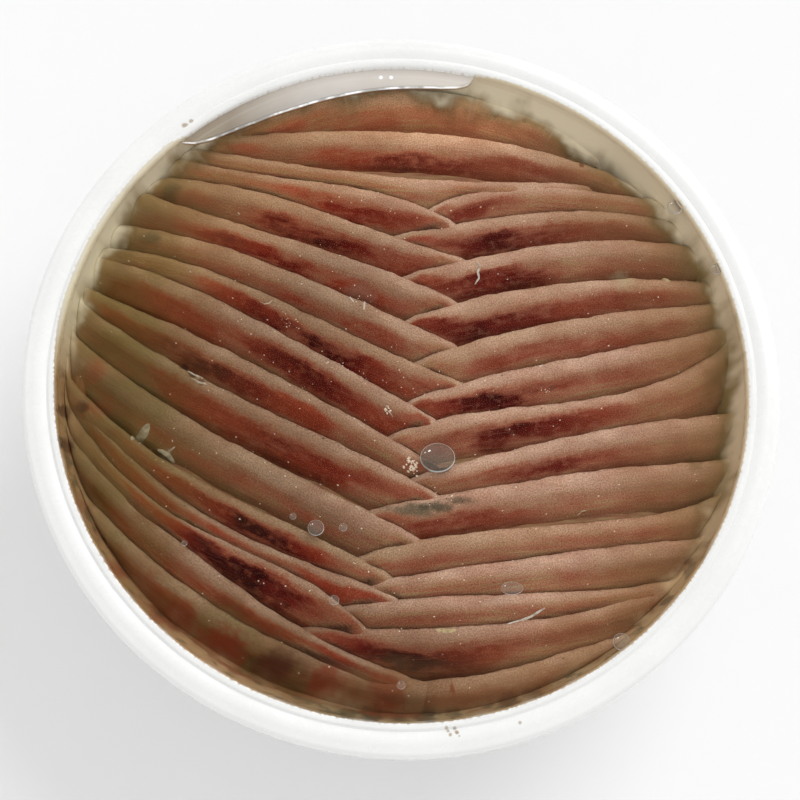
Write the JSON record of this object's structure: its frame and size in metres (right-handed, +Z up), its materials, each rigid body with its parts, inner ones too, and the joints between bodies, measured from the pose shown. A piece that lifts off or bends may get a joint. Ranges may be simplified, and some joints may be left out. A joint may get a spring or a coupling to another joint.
{
  "type": "sealed tub of anchovy fillets",
  "caption": "Round shallow tub with a sealing flange, closed by a clear film over cured fish fillets laid in a herringbone under oil.",
  "frame": {"origin": "centre of the tub's underside", "axes": "+Z up through the film; +X to the right along the rows of fillets; +Y to the back of the tub, away from the viewer in the picture"},
  "size_m": [0.19, 0.19, 0.0507],
  "materials": {
    "tub": "gloss",
    "film": "gloss",
    "fillets": "satin"
  },
  "bodies": {
    "root": {"tub": "tub", "film": "film", "fillets": "fillets"}
  },
  "joints": []
}
